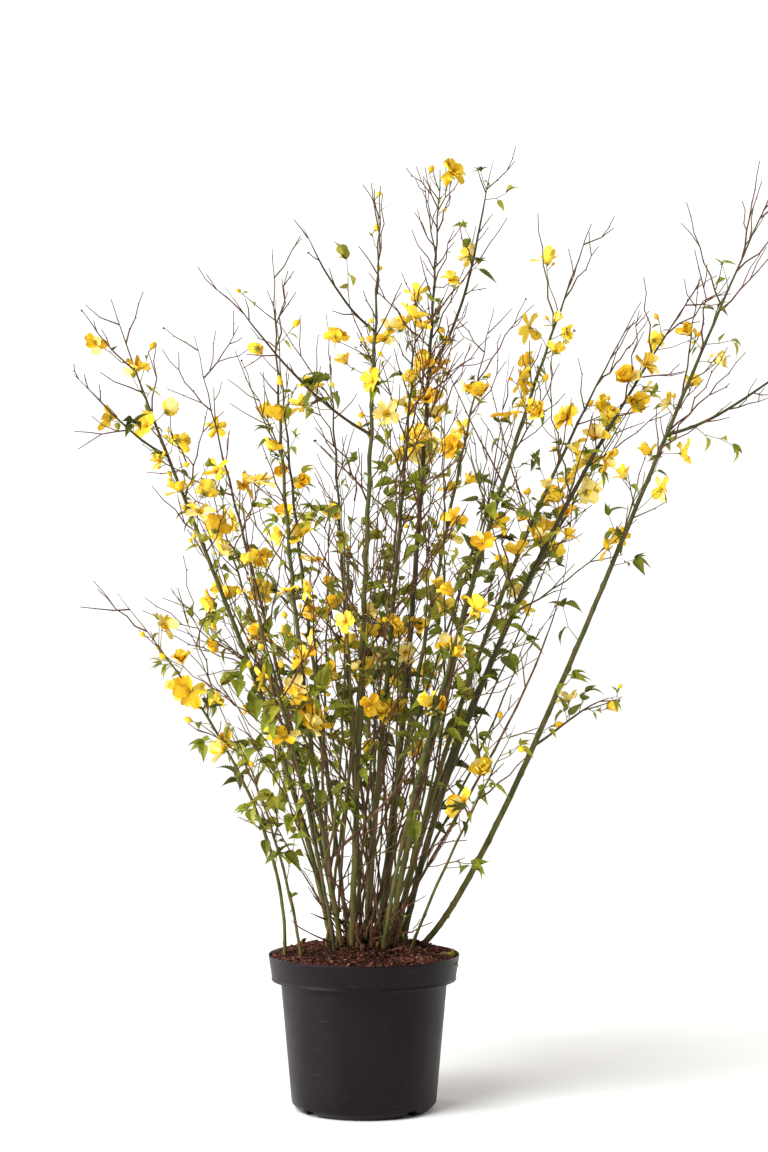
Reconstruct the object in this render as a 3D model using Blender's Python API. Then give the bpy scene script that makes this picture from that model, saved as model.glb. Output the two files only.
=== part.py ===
"""Japanese kerria, a clump of slender arching canes in a black ten-litre nursery pot.

Metres, +Z up. The origin is the centre of the pot's flat underside, and -Y is the front.
Each cane is one tapering limb that stands in its own hole in the compost and ends in a
socket in its mass of foliage. Each mass is a lumpy plume that follows the cane to its tip
and stops short of its neighbours.
"""

import math
from collections import namedtuple

import bmesh
import bpy
import numpy as np
from mathutils import Vector

SEED = 31
GAP = 0.0003

# The pot: outer radii and heights, and the thickness of its moulded wall.
POT_HEIGHT = 0.227
RIM_RADIUS = 0.140
LIP_LOW_RADIUS = 0.1345
LIP_LOW_HEIGHT = 0.1910
BODY_TOP_RADIUS = 0.1222
BODY_LOW_RADIUS = 0.1060
BODY_LOW_HEIGHT = 0.010
FOOT_RADIUS = 0.0950
WALL = 0.0022
POT_SIDES = 40

# The drainage notches in the pot's foot, with sides that slope in towards the top.
NOTCH_ANGLES = (-50, 43, 137, 223)
NOTCH_WIDTH = 0.026
NOTCH_TOP_WIDTH = 0.014
NOTCH_HEIGHT = 0.0095
NOTCH_DEPTH = 0.012

# The compost: its edge is level with the rim, and it is heaped towards the middle.
HEAP_EDGE_DROP = 0.003
HEAP_RISE = 0.020
HEAP_ROUNDNESS = 1.3
HEAP_ROUGHNESS = 0.0015
HEAP_RINGS = (0.8, 0.55, 0.3)
HOLE_DEPTH = 0.012

# Canes taper from the foot, which flares a little, to the tip.
LIMB_SIDES = 7
LIMB_STATIONS = 5
TIP_SHARE = 0.3
TAPER = 1.8
FLARE = 1.25
FLARE_LENGTH = 0.03
HANDLE = 0.33

# Masses of foliage: rings along the cane, the socket for it, and the space between two.
MASS_STATIONS = 12
SOCKET_DEPTH = 0.02
COLLAR = 0.004
MASS_CLEARANCE = 0.005
PATH_SAMPLES = 28
TANGENT_STEP = 0.01

# A mass is fullest below its middle. Its unevenness is three waves, each with its depth,
# its folds round the mass and its twist along it, and a share that differs at every point.
FULLEST = 0.68
FULLNESS = 0.75
WAVES = ((0.16, 2, 7), (0.14, 1, -11), (0.12, 3, 16))
LUMPS = 0.18

# foot: X and Y on the compost. tip: the furthest twig. leans: degrees from upright at the
# foot and at the tip. kick: how far the foot's lean lasts, as a share of the length.
# thick: diameter at the foot. leafy: share of the length where the mass starts.
# spread: the mass's largest radius.
Cane = namedtuple("Cane", "name foot tip leans kick thick leafy spread")

CANES = (
    Cane("left_outer", (-0.045, -0.010), (-0.365, -0.060, 1.180), (10, 18), HANDLE, 0.0080, 0.26, 0.056),
    Cane("left_low", (-0.116, -0.020), (-0.350, -0.120, 0.755), (-4, 40), HANDLE, 0.0050, 0.38, 0.041),
    Cane("left_back", (-0.048, 0.022), (-0.262, 0.200, 1.150), (9, 16), HANDLE, 0.0060, 0.28, 0.059),
    Cane("left_front", (-0.030, -0.030), (-0.125, -0.200, 1.235), (19, 2), HANDLE, 0.0072, 0.26, 0.059),
    Cane("left_rear", (-0.022, 0.040), (-0.142, 0.300, 1.215), (17, 10), HANDLE, 0.0066, 0.28, 0.063),
    Cane("middle_rear", (-0.004, 0.062), (-0.062, 0.380, 1.200), (14, 20), HANDLE, 0.0062, 0.30, 0.054),
    Cane("middle_front", (-0.018, -0.042), (0.025, -0.290, 1.310), (11, 13), HANDLE, 0.0088, 0.20, 0.065),
    Cane("middle_inner", (0.002, -0.008), (0.078, -0.100, 1.190), (6, 6), HANDLE, 0.0080, 0.26, 0.059),
    Cane("middle_high", (0.022, 0.022), (0.114, 0.100, 1.390), (9, 4), HANDLE, 0.0095, 0.22, 0.067),
    Cane("right_inner", (0.034, -0.026), (0.318, -0.200, 1.270), (11, 23), HANDLE, 0.0090, 0.22, 0.065),
    Cane("right_middle", (0.044, 0.024), (0.418, 0.130, 1.195), (12, 30), HANDLE, 0.0080, 0.24, 0.059),
    Cane("right_upper", (0.054, -0.006), (0.482, -0.090, 1.200), (11, 34), HANDLE, 0.0092, 0.26, 0.058),
    Cane("right_rear", (0.040, 0.052), (0.440, 0.300, 1.080), (15, 38), HANDLE, 0.0070, 0.28, 0.056),
    Cane("right_outer", (0.070, 0.040), (0.592, -0.150, 1.355), (68, 26), 0.09, 0.0092, 0.36, 0.046),
    Cane("back_right", (0.018, 0.066), (0.205, 0.390, 1.210), (14, 24), HANDLE, 0.0075, 0.30, 0.063),
    Cane("back_left", (-0.034, 0.060), (-0.260, 0.350, 0.960), (16, 28), HANDLE, 0.0060, 0.30, 0.056),
    Cane("front_right", (0.026, -0.052), (0.170, -0.290, 0.860), (14, 24), HANDLE, 0.0055, 0.28, 0.052),
    Cane("front_left", (-0.040, -0.056), (-0.160, -0.280, 0.800), (16, 26), HANDLE, 0.0050, 0.30, 0.050),
    Cane("low_right", (0.064, -0.040), (0.215, -0.150, 0.570), (22, 30), HANDLE, 0.0045, 0.34, 0.038),
    Cane("low_left", (-0.088, -0.058), (-0.190, -0.170, 0.580), (12, 34), HANDLE, 0.0045, 0.38, 0.036),
    Cane("low_back", (0.050, 0.084), (0.130, 0.250, 0.640), (20, 28), HANDLE, 0.0045, 0.34, 0.043),
)

# Side boughs leave a cane inside its mass. at: share of the cane's length where it leaves.
# leans: degrees from upright as it leaves and at its tip. leafy: share of the bough's length
# where its own mass starts, or None on a bare bough.
Bough = namedtuple("Bough", "name cane at tip leans thick leafy spread")

BOUGHS = (
    Bough("left_side", "left_outer", 0.76, (-0.418, -0.100, 1.072), (66, 48), 0.0035, None, 0),
    Bough("front_high", "middle_front", 0.82, (-0.082, -0.300, 1.255), (60, 30), 0.0035, None, 0),
    Bough("front_long", "middle_front", 0.69, (-0.188, -0.275, 1.175), (64, 36), 0.0040, None, 0),
    Bough("high_side", "middle_high", 0.74, (0.192, 0.060, 1.400), (38, 14), 0.0045, 0.45, 0.028),
    Bough("outer_side", "right_outer", 0.72, (0.645, -0.120, 1.100), (80, 62), 0.0045, None, 0),
    Bough("outer_low", "right_outer", 0.40, (0.368, -0.060, 0.606), (60, 84), 0.0035, None, 0),
)

# Colour, roughness.
FINISHES = {
    "black_plastic": ((0.030, 0.028, 0.030), 0.45),
    "compost": ((0.100, 0.040, 0.018), 0.95),
    "cane_bark": ((0.105, 0.130, 0.040), 0.60),
    "foliage": ((0.190, 0.230, 0.035), 0.70),
}


def finish(name):
    """The material of one kind of sub-part."""
    material = bpy.data.materials.get(name)
    if material is None:
        colour, roughness = FINISHES[name]
        material = bpy.data.materials.new(name)
        material.use_nodes = True
        shader = material.node_tree.nodes["Principled BSDF"]
        shader.inputs["Base Color"].default_value = (*colour, 1)
        shader.inputs["Roughness"].default_value = roughness
        shader.inputs["Metallic"].default_value = 0
        material.diffuse_color = (*colour, 1)
    return material


def skin(name, rings, material, start=None, end=None):
    """One closed body through rings of equally many points, with a flat or a pointed end."""
    mesh = bmesh.new()
    loops = [[mesh.verts.new(point) for point in ring] for ring in rings]
    sides = len(rings[0])
    for low, high in zip(loops, loops[1:]):
        for i in range(sides):
            j = (i + 1) % sides
            mesh.faces.new((low[i], low[j], high[j], high[i]))
    for loop, point in ((loops[0], start), (loops[-1], end)):
        if point is None:
            mesh.faces.new(loop)
        else:
            pole = mesh.verts.new(point)
            for i in range(sides):
                mesh.faces.new((loop[i], loop[(i + 1) % sides], pole))
    bmesh.ops.recalc_face_normals(mesh, faces=mesh.faces)
    data = bpy.data.meshes.new(name)
    mesh.to_mesh(data)
    mesh.free()
    body = bpy.data.objects.new(name, data)
    bpy.context.collection.objects.link(body)
    data.materials.append(finish(material))
    return body


def cut(body, cutter):
    """Takes the cutter's space out of the body."""
    cutter.hide_render = True
    cutter.display_type = "WIRE"
    boolean = body.modifiers.new(cutter.name, "BOOLEAN")
    boolean.operation = "DIFFERENCE"
    boolean.solver = "EXACT"
    boolean.object = cutter


def circle(radius, height):
    """The points of a level circle round the pot's axis."""
    turns = [2 * math.pi * i / POT_SIDES for i in range(POT_SIDES)]
    return [Vector((radius * math.cos(a), radius * math.sin(a), height)) for a in turns]


# The pot


def inner_profile():
    """The inside of the pot from the floor's edge to the rim, as radius and height."""
    return (
        (FOOT_RADIUS - WALL, WALL),
        (BODY_LOW_RADIUS - WALL, BODY_LOW_HEIGHT + WALL / 2),
        (BODY_TOP_RADIUS - WALL, LIP_LOW_HEIGHT),
        (LIP_LOW_RADIUS - WALL, LIP_LOW_HEIGHT + WALL),
        (RIM_RADIUS - WALL, POT_HEIGHT),
    )


def outer_profile():
    """The outside of the pot from its foot to the rim, as radius and height."""
    return (
        (FOOT_RADIUS, 0.0),
        (BODY_LOW_RADIUS, BODY_LOW_HEIGHT),
        (BODY_TOP_RADIUS, LIP_LOW_HEIGHT - WALL),
        (LIP_LOW_RADIUS - WALL / 2, LIP_LOW_HEIGHT - WALL),
        (LIP_LOW_RADIUS, LIP_LOW_HEIGHT),
        (RIM_RADIUS, POT_HEIGHT),
    )


def notch(angle):
    """A wedge that opens one drainage notch at this angle from the front."""
    turn = math.radians(angle) - math.pi / 2
    out = Vector((math.cos(turn), math.sin(turn), 0))
    along = Vector((-out.y, out.x, 0))
    inner = out * (FOOT_RADIUS - NOTCH_DEPTH)
    outer = out * RIM_RADIUS
    corners = ((-NOTCH_HEIGHT, NOTCH_WIDTH), (0, NOTCH_WIDTH), (NOTCH_HEIGHT, NOTCH_TOP_WIDTH))
    rings = []
    for middle in (inner, outer):
        near = [middle + along * width / 2 + Vector((0, 0, height)) for height, width in corners]
        far = [middle - along * width / 2 + Vector((0, 0, height)) for height, width in corners]
        rings.append(near + far[::-1])
    return skin(f"notch_{angle}", rings, "black_plastic")


def make_pot():
    rings = [circle(r, z) for r, z in outer_profile()]
    rings += [circle(r, z) for r, z in reversed(inner_profile())]
    pot = skin("pot", rings, "black_plastic")
    for angle in NOTCH_ANGLES:
        cut(pot, notch(angle))


# The compost


def edge_radius():
    """The compost's radius where it meets the inside of the lip."""
    slope = (RIM_RADIUS - LIP_LOW_RADIUS) / (POT_HEIGHT - LIP_LOW_HEIGHT - WALL)
    return RIM_RADIUS - WALL - HEAP_EDGE_DROP * slope - GAP


def heap_height(x, y):
    """The height of the smooth heap at a place on the compost."""
    share = min(math.hypot(x, y) / edge_radius(), 1.0)
    return POT_HEIGHT - HEAP_EDGE_DROP + HEAP_RISE * (1 - share**2) ** HEAP_ROUNDNESS


def make_compost(lines):
    """A plug that fills the pot, heaped and lumpy on top, with a hole for each cane."""
    rng = np.random.default_rng(SEED)
    rings = [circle(r - GAP, z + GAP) for r, z in inner_profile()[:-1]]
    rings.append(circle(edge_radius(), POT_HEIGHT - HEAP_EDGE_DROP))
    for share in HEAP_RINGS:
        ring = circle(edge_radius() * share, 0)
        for point in ring:
            point.z = heap_height(point.x, point.y) + rng.uniform(-1, 1) * HEAP_ROUGHNESS
        rings.append(ring)
    compost = skin("compost", rings, "compost", end=(0, 0, heap_height(0, 0)))
    for cane, line in zip(CANES, lines):
        shares = (-GAP / line.length, *cane_shares(cane, line)[1:3])
        cut(compost, limb(f"hole_{cane.name}", line, shares, GAP, "compost"))


# Canes and boughs


def bezier(p0, p1, p2, p3):
    """A cubic curve as a function of its share from 0 to 1."""

    def at(t):
        u = 1 - t
        return p0 * u**3 + p1 * 3 * u * u * t + p2 * 3 * u * t * t + p3 * t**3

    return at


def leaning(out, degrees):
    """The direction that leans this far from upright towards out."""
    lean = math.radians(degrees)
    return out * math.sin(lean) + Vector((0, 0, math.cos(lean)))


class Limb:
    """The centre line, frames and taper of one limb."""

    def __init__(self, foot, tip, leans, kick, thick):
        out = Vector((tip.x - foot.x, tip.y - foot.y, 0)).normalized()
        self.side = Vector((-out.y, out.x, 0))
        chord = (tip - foot).length
        low, high = (leaning(out, lean) for lean in leans)
        self.at = bezier(foot, foot + low * chord * kick, tip - high * chord * HANDLE, tip)
        self.thick = thick
        self.length = sum((b - a).length for a, b in zip(self.samples(), self.samples()[1:]))

    def samples(self, start=0.0):
        steps = range(PATH_SAMPLES)
        return [self.at(start + (1 - start) * i / (PATH_SAMPLES - 1)) for i in steps]

    def frame(self, t):
        """Two directions across the limb."""
        low, high = max(t - TANGENT_STEP, 0), min(t + TANGENT_STEP, 1)
        along = (self.at(high) - self.at(low)).normalized()
        return self.side, self.side.cross(along).normalized()

    def radius(self, t):
        flare = max(0, 1 - t * self.length / FLARE_LENGTH) * (FLARE - 1)
        return self.thick / 2 * (1 - max(t, 0) ** TAPER * (1 - TIP_SHARE)) * (1 + flare)

    def ring(self, t, radius):
        across, over = self.frame(t)
        turns = [2 * math.pi * i / LIMB_SIDES for i in range(LIMB_SIDES)]
        return [self.at(t) + radius * (across * math.cos(a) + over * math.sin(a)) for a in turns]


def cane_limb(cane):
    x, y = cane.foot
    foot = Vector((x, y, heap_height(x, y) - HOLE_DEPTH))
    return Limb(foot, Vector(cane.tip), cane.leans, cane.kick, cane.thick)


def cane_shares(cane, line):
    """The stations of a cane: its foot, the top of the flare, its bare run and its end."""
    top = FLARE_LENGTH / line.length
    bare = [top + (cane.leafy - top) * i / LIMB_STATIONS for i in range(LIMB_STATIONS + 1)]
    return (0, *bare, cane.leafy + (SOCKET_DEPTH - GAP) / line.length)


def limb(name, line, shares, grow=0.0, material="cane_bark"):
    """A tapering limb through these shares of its line, or the same a little larger."""
    grown = grow / math.cos(math.pi / LIMB_SIDES)
    rings = [line.ring(t, line.radius(t) + grown) for t in shares]
    return skin(name, rings, material)


# Masses of foliage


def plume_profile(s):
    """The share of the full spread at a share of the mass's length."""
    return math.sin(math.pi * s**FULLEST) ** FULLNESS


def room(centre, heading, others):
    """How far a mass may grow this way before it is nearer to another limb."""
    away = others - np.array(centre)
    facing = away @ np.array(heading)
    ahead = facing > 1e-6
    if not ahead.any():
        return math.inf
    half = (away[ahead] ** 2).sum(axis=1) / (2 * facing[ahead])
    return float(half.min()) - MASS_CLEARANCE


def plume(name, line, start, spread, others, seed, grow=0.0):
    """A lumpy mass round a limb from a share of its line to the tip, with a socket below."""
    rng = np.random.default_rng(seed)
    socket = SOCKET_DEPTH / line.length
    hole = (line.radius(start) + GAP) / math.cos(math.pi / LIMB_SIDES)
    rings = [line.ring(start + socket, hole), line.ring(start, hole)]
    phases = rng.uniform(0, 2 * math.pi, len(WAVES))
    for k in range(MASS_STATIONS):
        s = k / MASS_STATIONS
        t = start + (1 - start) * s
        across, over = line.frame(t)
        centre = line.at(t)
        ring = []
        for i in range(LIMB_SIDES):
            a = 2 * math.pi * i / LIMB_SIDES
            heading = across * math.cos(a) + over * math.sin(a)
            waves = zip(WAVES, phases)
            lump = sum(d * math.sin(folds * a + phase + twist * s) for (d, folds, twist), phase in waves)
            lump += LUMPS * rng.uniform(-1, 1)
            wanted = spread * plume_profile(s) * (1 + lump)
            least = line.radius(t) + COLLAR
            reach = max(least, min(wanted, room(centre, heading, others)))
            ring.append(centre + heading * (reach + grow))
        rings.append(ring)
    tip = line.at(1)
    return skin(name, rings, "foliage", start=line.at(start + socket), end=tip)


def bough_limb(bough, lines):
    parent = lines[bough.cane]
    return Limb(parent.at(bough.at), Vector(bough.tip), bough.leans, HANDLE, bough.thick)


def neighbours(name, lines):
    """Points along every other limb. A cane's own boughs count from where they are leafy."""
    starts = {bough.name: bough.leafy for bough in BOUGHS if bough.cane == name}
    points = []
    for other, line in lines.items():
        start = starts.get(other, 0.0)
        if other != name and start is not None:
            points += line.samples(start)
    return np.array(points)


def make_bough(bough, line, parent_mass, others, seed):
    """A bough cut off flush with the mass it leaves, with its own mass if it is leafy."""
    end = 1 if bough.leafy is None else bough.leafy
    shares = [end * i / LIMB_STATIONS for i in range(LIMB_STATIONS + 1)]
    if bough.leafy is not None:
        shares.append(end + (SOCKET_DEPTH - GAP) / line.length)
        plume(f"foliage_{bough.name}", line, end, bough.spread, others, seed)
    cut(limb(f"bough_{bough.name}", line, shares), parent_mass)


def main():
    for old in list(bpy.data.objects):
        bpy.data.objects.remove(old, do_unlink=True)
    make_pot()
    lines = {cane.name: cane_limb(cane) for cane in CANES}
    make_compost(lines.values())
    lines |= {bough.name: bough_limb(bough, lines) for bough in BOUGHS}
    parents = {bough.cane for bough in BOUGHS}
    masses = {}
    for number, cane in enumerate(CANES):
        line = lines[cane.name]
        limb(f"cane_{cane.name}", line, cane_shares(cane, line))
        shape = (line, cane.leafy, cane.spread, neighbours(cane.name, lines), SEED + number)
        plume(f"foliage_{cane.name}", *shape)
        if cane.name in parents:
            masses[cane.name] = plume(f"round_{cane.name}", *shape, grow=GAP)
    for number, bough in enumerate(BOUGHS):
        line = lines[bough.name]
        others = neighbours(bough.name, lines)
        make_bough(bough, line, masses[bough.cane], others, SEED + len(CANES) + number)


main()
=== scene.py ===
"""Looks of the japanese kerria: bark, twigs, leaves and flowers grown from the canes of the frame.

Metres, in the frame of the CAD model: +Z up, the origin under the middle of the pot, -Y the front.
Every cane and bough follows the same centre line as its CAD node. Twigs, leafy shoots and flowers
start on those lines and grow by seeded rules, and each kind is joined into one piece per tone.
"""

import math
from collections import namedtuple
from functools import lru_cache

import bpy
import numpy as np
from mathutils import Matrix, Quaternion, Vector


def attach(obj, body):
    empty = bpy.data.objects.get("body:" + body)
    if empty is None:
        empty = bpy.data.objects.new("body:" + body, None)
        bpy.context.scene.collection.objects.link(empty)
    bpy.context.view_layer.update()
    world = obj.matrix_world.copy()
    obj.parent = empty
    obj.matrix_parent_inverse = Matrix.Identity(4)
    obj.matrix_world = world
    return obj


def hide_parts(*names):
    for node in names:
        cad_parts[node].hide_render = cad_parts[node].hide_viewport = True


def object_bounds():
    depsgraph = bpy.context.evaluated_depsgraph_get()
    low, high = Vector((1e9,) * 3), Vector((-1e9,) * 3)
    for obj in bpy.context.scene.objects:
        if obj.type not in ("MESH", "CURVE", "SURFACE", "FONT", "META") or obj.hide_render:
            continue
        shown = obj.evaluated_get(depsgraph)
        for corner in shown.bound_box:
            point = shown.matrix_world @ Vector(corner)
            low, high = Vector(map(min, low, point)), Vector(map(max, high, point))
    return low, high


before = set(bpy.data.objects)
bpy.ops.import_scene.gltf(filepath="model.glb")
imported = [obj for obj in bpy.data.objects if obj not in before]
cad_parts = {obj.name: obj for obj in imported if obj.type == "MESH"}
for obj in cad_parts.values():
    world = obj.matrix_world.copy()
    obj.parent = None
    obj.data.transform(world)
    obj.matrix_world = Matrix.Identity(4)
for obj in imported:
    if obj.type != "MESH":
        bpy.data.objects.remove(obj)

cad_box = [list(corner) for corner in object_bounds()]

# Seeds: limbs go by number, and stems, crown and compost have their own.
SEED = 31
STEM_SEED = 1000
CROWN_SEED = 2000
SURFACE_SEED, GRAIN_SEED, CRUMB_SEED, LITTER_SEED, PATCH_SEED = range(SEED + 500, SEED + 505)

UP = Vector((0, 0, 1))
GOLDEN_TURN = math.radians(137.5)
ANY_TURN = 6.3

# The pot, as in the frame. Its notches are turned this far from the front.
POT_HEIGHT = 0.227
RIM_RADIUS = 0.14
LIP_LOW_RADIUS = 0.1345
LIP_LOW_HEIGHT = 0.191
BODY_TOP_RADIUS = 0.1222
BODY_LOW_RADIUS = 0.106
BODY_LOW_HEIGHT = 0.01
FOOT_RADIUS = 0.095
WALL = 0.0022
NOTCH_ANGLES = (-50, 43, 137, 223)
NOTCH_WIDTH = 0.026
NOTCH_TOP_WIDTH = 0.014
NOTCH_HEIGHT = 0.0095
NOTCH_DEPTH = 0.012

# Its rounded edges, as steps out and up from the corners under its lip, of the lip and of the rim.
STEP_EDGE = ((0.0002, -0.0012), (0.0012, -0.0002))
LIP_EDGE = ((-0.003, 0), (-0.001, 0.0003), (0.0004, 0.0008), (0.001, 0.0018), (0.0009, 0.003),
            (0.0002, 0.0042))
RIM_EDGE = ((-0.0002, -0.0008), (-0.0008, -0.0001), (0.0006 - WALL, 0), (-WALL, -0.0007))
INNER_RADIUS = 0.004
OUT_OF_ROUND = 0.0016
POT_COLUMNS = 240

# The compost, as in the frame.
HEAP_EDGE_DROP = 0.003
HEAP_RISE = 0.02
HEAP_ROUNDNESS = 1.3
LIP_SLOPE = (RIM_RADIUS - LIP_LOW_RADIUS) / (POT_HEIGHT - LIP_LOW_HEIGHT - WALL)
HEAP_RADIUS = RIM_RADIUS - WALL - HEAP_EDGE_DROP * LIP_SLOPE
HOLE_DEPTH = 0.012
HEAP_COLUMNS = 220
HEAP_ROWS = 70

# Limbs, as in the frame.
TIP_SHARE = 0.3
TAPER = 1.8
FLARE = 1.25
FLARE_LENGTH = 0.03
HANDLE = 0.33

# Canes: where each stands on the compost, its tip, its lean from upright at its foot and tip, its
# diameter, and how far it keeps to its first lean, as a share of its length.
Cane = namedtuple("Cane", "name foot tip leans thick kick", defaults=(HANDLE,))

CANES = (
    Cane("left_outer", (-0.045, -0.01), (-0.365, -0.06, 1.18), (10, 18), 0.008),
    Cane("left_low", (-0.116, -0.02), (-0.35, -0.12, 0.755), (-4, 40), 0.005),
    Cane("left_back", (-0.048, 0.022), (-0.262, 0.2, 1.15), (9, 16), 0.006),
    Cane("left_front", (-0.03, -0.03), (-0.125, -0.2, 1.235), (19, 2), 0.0072),
    Cane("left_rear", (-0.022, 0.04), (-0.142, 0.3, 1.215), (17, 10), 0.0066),
    Cane("middle_rear", (-0.004, 0.062), (-0.062, 0.38, 1.2), (14, 20), 0.0062),
    Cane("middle_front", (-0.018, -0.042), (0.025, -0.29, 1.31), (11, 13), 0.0088),
    Cane("middle_inner", (0.002, -0.008), (0.078, -0.1, 1.19), (6, 6), 0.008),
    Cane("middle_high", (0.022, 0.022), (0.114, 0.1, 1.39), (9, 4), 0.0095),
    Cane("right_inner", (0.034, -0.026), (0.318, -0.2, 1.27), (11, 23), 0.009),
    Cane("right_middle", (0.044, 0.024), (0.418, 0.13, 1.195), (12, 30), 0.008),
    Cane("right_upper", (0.054, -0.006), (0.482, -0.09, 1.2), (11, 34), 0.0092),
    Cane("right_rear", (0.04, 0.052), (0.44, 0.3, 1.08), (15, 38), 0.007),
    Cane("right_outer", (0.07, 0.04), (0.592, -0.15, 1.355), (68, 26), 0.0092, 0.09),
    Cane("back_right", (0.018, 0.066), (0.205, 0.39, 1.21), (14, 24), 0.0075),
    Cane("back_left", (-0.034, 0.06), (-0.26, 0.35, 0.96), (16, 28), 0.006),
    Cane("front_right", (0.026, -0.052), (0.17, -0.29, 0.86), (14, 24), 0.0055),
    Cane("front_left", (-0.04, -0.056), (-0.16, -0.28, 0.8), (16, 26), 0.005),
    Cane("low_right", (0.064, -0.04), (0.215, -0.15, 0.57), (22, 30), 0.0045),
    Cane("low_left", (-0.088, -0.058), (-0.19, -0.17, 0.58), (12, 34), 0.0045),
    Cane("low_back", (0.05, 0.084), (0.13, 0.25, 0.64), (20, 28), 0.0045),
)

# Boughs: the cane each grows from and how far along it.
Bough = namedtuple("Bough", "name cane at tip leans thick")

BOUGHS = (
    Bough("left_side", "left_outer", 0.76, (-0.418, -0.1, 1.072), (66, 48), 0.0035),
    Bough("front_high", "middle_front", 0.82, (-0.082, -0.3, 1.255), (60, 30), 0.0035),
    Bough("front_long", "middle_front", 0.69, (-0.188, -0.275, 1.175), (64, 36), 0.004),
    Bough("high_side", "middle_high", 0.74, (0.192, 0.06, 1.4), (38, 14), 0.0045),
    Bough("outer_side", "right_outer", 0.72, (0.645, -0.12, 1.1), (80, 62), 0.0045),
    Bough("outer_low", "right_outer", 0.4, (0.368, -0.06, 0.606), (60, 84), 0.0035),
)

# How each limb is dressed. A band is the shares of the limb's length between which it lies and how
# many leafy shoots, flowers or bare twigs it holds.
Habit = namedtuple("Habit", "bark leaves blooms twigs reach")

HABITS = {
    "left_outer": Habit("green", (0.16, 0.86, 15), ((0.36, 0.48, 5), (0.48, 0.9, 23)),
        (0.4, 0.98, 15), 0.15),
    "left_low": Habit("green", (0.22, 0.88, 9), ((0.55, 0.9, 10),), (0.5, 0.98, 6), 0.12),
    "left_back": Habit("brown", (0.16, 0.74, 14), ((0.5, 0.86, 6),), (0.42, 0.98, 13), 0.15),
    "left_front": Habit("green", (0.14, 0.8, 17), ((0.3, 0.5, 13), (0.52, 0.91, 11)),
        (0.4, 0.98, 12), 0.13),
    "left_rear": Habit("dark", (0.16, 0.76, 14), ((0.36, 0.48, 3), (0.48, 0.82, 6)), (0.4, 0.98, 11), 0.12),
    "middle_rear": Habit("dark", (0.18, 0.72, 11), ((0.46, 0.66, 4),), (0.36, 0.94, 12), 0.11),
    "middle_front": Habit("green", (0.16, 0.8, 14), ((0.3, 0.45, 13), (0.67, 0.83, 12), (0.88, 0.97, 3)),
        (0.34, 0.98, 20), 0.14),
    "middle_inner": Habit("green", (0.32, 0.86, 11), ((0.3, 0.48, 8), (0.74, 0.95, 10)),
        (0.44, 0.99, 26), 0.14),
    "middle_high": Habit("dark", (0.38, 0.84, 16), ((0.3, 0.42, 5), (0.6, 0.82, 17), (0.93, 0.99, 4)),
        (0.5, 0.985, 38), 0.15),
    "right_inner": Habit("green", (0.22, 0.74, 16), ((0.4, 0.6, 3), (0.7, 0.88, 12)),
        (0.4, 0.98, 15), 0.14),
    "right_middle": Habit("green", (0.28, 0.76, 15), ((0.54, 0.84, 12),), (0.4, 0.98, 14), 0.15),
    "right_upper": Habit("dark", (0.3, 0.84, 12), ((0.54, 0.66, 4), (0.66, 0.92, 15)),
        (0.44, 0.98, 20), 0.15),
    "right_rear": Habit("dark", (0.28, 0.86, 11), ((0.5, 0.88, 7),), (0.4, 0.98, 13), 0.13),
    "right_outer": Habit("green", (0.46, 0.9, 10), ((0.4, 0.44, 1), (0.58, 0.82, 10)),
        (0.6, 0.98, 20), 0.14),
    "back_right": Habit("green", (0.28, 0.88, 12), ((0.46, 0.9, 12),), (0.4, 0.98, 13), 0.14),
    "back_left": Habit("dark", (0.28, 0.9, 11), ((0.46, 0.92, 10),), (0.4, 0.98, 11), 0.13),
    "front_right": Habit("green", (0.3, 0.9, 7), ((0.5, 0.96, 7),), (0.4, 0.98, 7), 0.12),
    "front_left": Habit("dark", (0.24, 0.9, 9), ((0.5, 0.96, 11),), (0.4, 0.98, 6), 0.11),
    "low_right": Habit("green", (0.34, 0.92, 6), ((0.6, 0.98, 4),), (0.4, 0.98, 5), 0.1),
    "low_left": Habit("green", (0.3, 0.94, 8), ((0.7, 0.98, 2),), (0.4, 0.98, 5), 0.1),
    "low_back": Habit("green", (0.34, 0.92, 6), ((0.6, 0.98, 4),), (0.4, 0.98, 5), 0.1),
    "left_side": Habit("dark", (0.3, 0.6, 1), ((0.4, 0.6, 1),), (0.3, 0.96, 5), 0.07),
    "front_high": Habit("brown", (0.2, 0.3, 1), (), (0.2, 0.96, 4), 0.06),
    "front_long": Habit("brown", (0.14, 0.4, 2), ((0.2, 0.34, 4),), (0.2, 0.96, 5), 0.07),
    "high_side": Habit("dark", (0.45, 0.96, 4), ((0.5, 0.7, 1),), (0.3, 0.96, 6), 0.08),
    "outer_side": Habit("dark", (0.1, 0.2, 1), (), (0.2, 0.96, 5), 0.07),
    "outer_low": Habit("dark", (0.3, 0.96, 3), ((0.4, 0.66, 2), (0.94, 0.98, 1)), (0.2, 0.96, 3), 0.05),
}

# Leaves: length, and width as a share of it, half way up and at the tips of the canes, and what is
# left of it at their feet. Teeth and pleats are shares of the width. Leaves on stalks hang and tufts
# stand upright: the degrees by which they droop, fold and roll.
LEAF_LENGTHS = (0.043, 0.024)
LEAF_WIDTHS = (0.54, 0.33)
LOW_LEAVES = 0.5
LEAF_ROWS = 21
TOOTH = 0.075
PLEAT = 0.11
TOOTH_LEAN = 0.35
HANGING = ((5, 75), (6, 38), (-45, 45))
UPRIGHT = ((0, 95), (20, 50), (-60, 60))

# Petals: length, width and its range, rows and columns, and rows of the throat, whose deep tone is partly
# the petals' own colour and partly painted shade; then stamens.
PETAL_LENGTH = 0.022
PETAL_WIDTH = 0.0185
PETAL_WIDTHS = (0.62, 1.06)
PETAL_ROWS = 7
PETAL_COLUMNS = 7
THROAT_ROWS = 3
RAGGED = 0.09
RIPPLE = 0.2
PETALS = 5
STAMENS = 14

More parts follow.
